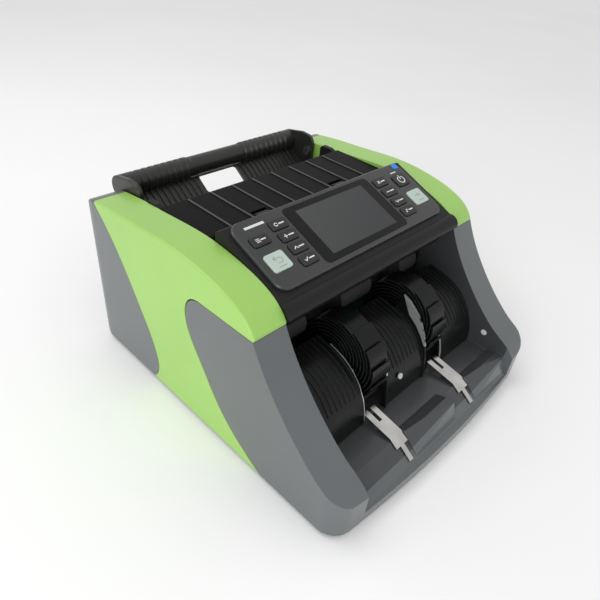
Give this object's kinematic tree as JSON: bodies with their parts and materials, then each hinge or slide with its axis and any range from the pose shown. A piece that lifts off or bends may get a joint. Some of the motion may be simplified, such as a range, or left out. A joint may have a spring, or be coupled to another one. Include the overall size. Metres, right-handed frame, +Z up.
{
  "type": "banknote counting machine",
  "caption": "Desktop banknote counter: rear hopper and feed rollers drop notes past finger wheels into an open front stacker, under a sloped key panel, with a folding handle.",
  "frame": {"origin": "centre of the footprint, on the surface the feet stand on", "axes": "+X operator's right, +Y rear, +Z up"},
  "size_m": [0.248, 0.2902, 0.1544],
  "materials": {
    "cover_green": "fine texture, satin",
    "shell_grey": "fine texture, satin",
    "housing_black": "satin",
    "overlay_black": "semi-gloss",
    "screen_dark": "gloss",
    "display_module": "satin",
    "circuit_board": "lacquered",
    "film_blue": "clear film",
    "key_black": "satin",
    "key_pale": "satin",
    "handle_black": "satin",
    "steel": "bright",
    "guide_black": "satin",
    "sensor_pale": "gloss",
    "rubber_dark": "matte",
    "motor_metal": "satin",
    "transformer": "lacquered",
    "inlet_black": "semi-gloss"
  },
  "bodies": {
    "housing": {"left_side_cover": "cover_green", "right_side_cover": "cover_green", "left_rear_panel": "shell_grey", "right_rear_panel": "shell_grey", "front_frame": "shell_grey", "base_plate": "housing_black", "rubber_feet": "rubber_dark", "case_screws": "steel", "rear_cover": "housing_black", "rear_deck": "housing_black", "hopper_tray": "housing_black", "panel_housing": "housing_black", "panel_overlay": "overlay_black", "screen_lens": "screen_dark", "lcd_module": "display_module", "control_board": "circuit_board", "film_tab": "film_blue", "handle_pins": "steel", "stacker_guide_left": "guide_black", "stacker_guide_right": "guide_black", "stacker_guide_centre": "guide_black", "note_plate_left": "steel", "note_plate_right": "steel", "sensor_lenses": "sensor_pale", "left_side_frame": "steel", "right_side_frame": "steel", "drive_motor": "motor_metal", "drive_belt": "rubber_dark", "timing_belt": "rubber_dark", "transport_belt": "rubber_dark", "pickup_belt": "rubber_dark", "main_board": "circuit_board", "power_supply": "transformer", "power_inlet": "inlet_black"},
    "carry_handle": {"handle_frame": "handle_black", "handle_grip": "handle_black"},
    "mains_rocker": {"power_rocker": "inlet_black"},
    "feed_unit": {"feed_shaft": "steel", "feed_rollers": "rubber_dark"},
    "impeller_unit": {"impeller_shaft": "steel", "impeller_left": "guide_black", "impeller_right": "guide_black"},
    "transport_unit": {"transport_shaft": "steel", "transport_rollers": "rubber_dark"},
    "pickup_unit": {"pickup_shaft": "steel", "pickup_rollers": "rubber_dark"},
    "pinch_unit": {"pinch_roller": "rubber_dark"},
    "motor_rotor": {"motor_shaft": "steel"},
    "key_left_1": {"key_left_1": "key_black"},
    "key_left_2": {"key_left_2": "key_black"},
    "key_left_3": {"key_left_3": "key_black"},
    "key_left_4": {"key_left_4": "key_black"},
    "key_right_1": {"key_right_1": "key_black"},
    "key_right_2": {"key_right_2": "key_black"},
    "key_right_3": {"key_right_3": "key_black"},
    "key_right_4": {"key_right_4": "key_black"},
    "menu_key": {"menu_key": "key_black"},
    "power_key": {"power_key": "key_black"},
    "return_key": {"return_key": "key_pale"},
    "start_key": {"start_key": "key_pale"}
  },
  "joints": [
    {"name": "handle_hinge", "type": "hinge", "parent": "housing", "child": "carry_handle", "pos_m": [0, 0.11, 0.13], "axis": [1, 0, 0], "range_deg": [0, 80]},
    {"name": "rocker_pivot", "type": "hinge", "parent": "housing", "child": "mains_rocker", "pos_m": [-0.037, 0.1407, 0.031], "axis": [1, 0, 0], "range_deg": [-14, 0]},
    {"name": "key_left_1_press", "type": "slide", "parent": "housing", "child": "key_left_1", "axis": [0, 0.3649, -0.9311], "range_m": [0, 0.0006], "stiffness_N_per_m": 600, "springref_m": -0.0008},
    {"name": "key_left_2_press", "type": "slide", "parent": "housing", "child": "key_left_2", "axis": [0, 0.3649, -0.9311], "range_m": [0, 0.0006], "stiffness_N_per_m": 600, "springref_m": -0.0008},
    {"name": "key_left_3_press", "type": "slide", "parent": "housing", "child": "key_left_3", "axis": [0, 0.3649, -0.9311], "range_m": [0, 0.0006], "stiffness_N_per_m": 600, "springref_m": -0.0008},
    {"name": "key_left_4_press", "type": "slide", "parent": "housing", "child": "key_left_4", "axis": [0, 0.3649, -0.9311], "range_m": [0, 0.0006], "stiffness_N_per_m": 600, "springref_m": -0.0008},
    {"name": "key_right_1_press", "type": "slide", "parent": "housing", "child": "key_right_1", "axis": [0, 0.3649, -0.9311], "range_m": [0, 0.0006], "stiffness_N_per_m": 600, "springref_m": -0.0008},
    {"name": "key_right_2_press", "type": "slide", "parent": "housing", "child": "key_right_2", "axis": [0, 0.3649, -0.9311], "range_m": [0, 0.0006], "stiffness_N_per_m": 600, "springref_m": -0.0008},
    {"name": "key_right_3_press", "type": "slide", "parent": "housing", "child": "key_right_3", "axis": [0, 0.3649, -0.9311], "range_m": [0, 0.0006], "stiffness_N_per_m": 600, "springref_m": -0.0008},
    {"name": "key_right_4_press", "type": "slide", "parent": "housing", "child": "key_right_4", "axis": [0, 0.3649, -0.9311], "range_m": [0, 0.0006], "stiffness_N_per_m": 600, "springref_m": -0.0008},
    {"name": "menu_key_press", "type": "slide", "parent": "housing", "child": "menu_key", "axis": [0, 0.3649, -0.9311], "range_m": [0, 0.0006], "stiffness_N_per_m": 600, "springref_m": -0.0008},
    {"name": "power_key_press", "type": "slide", "parent": "housing", "child": "power_key", "axis": [0, 0.3649, -0.9311], "range_m": [0, 0.0006], "stiffness_N_per_m": 600, "springref_m": -0.0008},
    {"name": "return_key_press", "type": "slide", "parent": "housing", "child": "return_key", "axis": [0, 0.3649, -0.9311], "range_m": [0, 0.0006], "stiffness_N_per_m": 600, "springref_m": -0.0008},
    {"name": "start_key_press", "type": "slide", "parent": "housing", "child": "start_key", "axis": [0, 0.3649, -0.9311], "range_m": [0, 0.0006], "stiffness_N_per_m": 600, "springref_m": -0.0008},
    {"name": "feed_spin", "type": "hinge", "parent": "housing", "child": "feed_unit", "pos_m": [0, 0.002, 0.103], "axis": [1, 0, 0], "continuous": true},
    {"name": "impeller_spin", "type": "hinge", "parent": "housing", "child": "impeller_unit", "pos_m": [0, -0.062, 0.0605], "axis": [1, 0, 0], "continuous": true},
    {"name": "transport_spin", "type": "hinge", "parent": "housing", "child": "transport_unit", "pos_m": [0, -0.026, 0.084], "axis": [1, 0, 0], "continuous": true},
    {"name": "pickup_spin", "type": "hinge", "parent": "housing", "child": "pickup_unit", "pos_m": [0, 0.0245, 0.1323], "axis": [1, 0, 0], "continuous": true},
    {"name": "pinch_spin", "type": "hinge", "parent": "housing", "child": "pinch_unit", "pos_m": [0, -0.017, 0.0645], "axis": [1, 0, 0], "continuous": true},
    {"name": "motor_spin", "type": "hinge", "parent": "housing", "child": "motor_rotor", "pos_m": [0, 0.05, 0.042], "axis": [1, 0, 0], "continuous": true}
  ],
  "couplings": [
    {"joint": "impeller_spin", "follows": "feed_spin", "ratio": 0.6429},
    {"joint": "transport_spin", "follows": "feed_spin", "ratio": 1},
    {"joint": "pickup_spin", "follows": "feed_spin", "ratio": 1},
    {"joint": "pinch_spin", "follows": "feed_spin", "ratio": -1.625},
    {"joint": "motor_spin", "follows": "feed_spin", "ratio": 1.75}
  ]
}
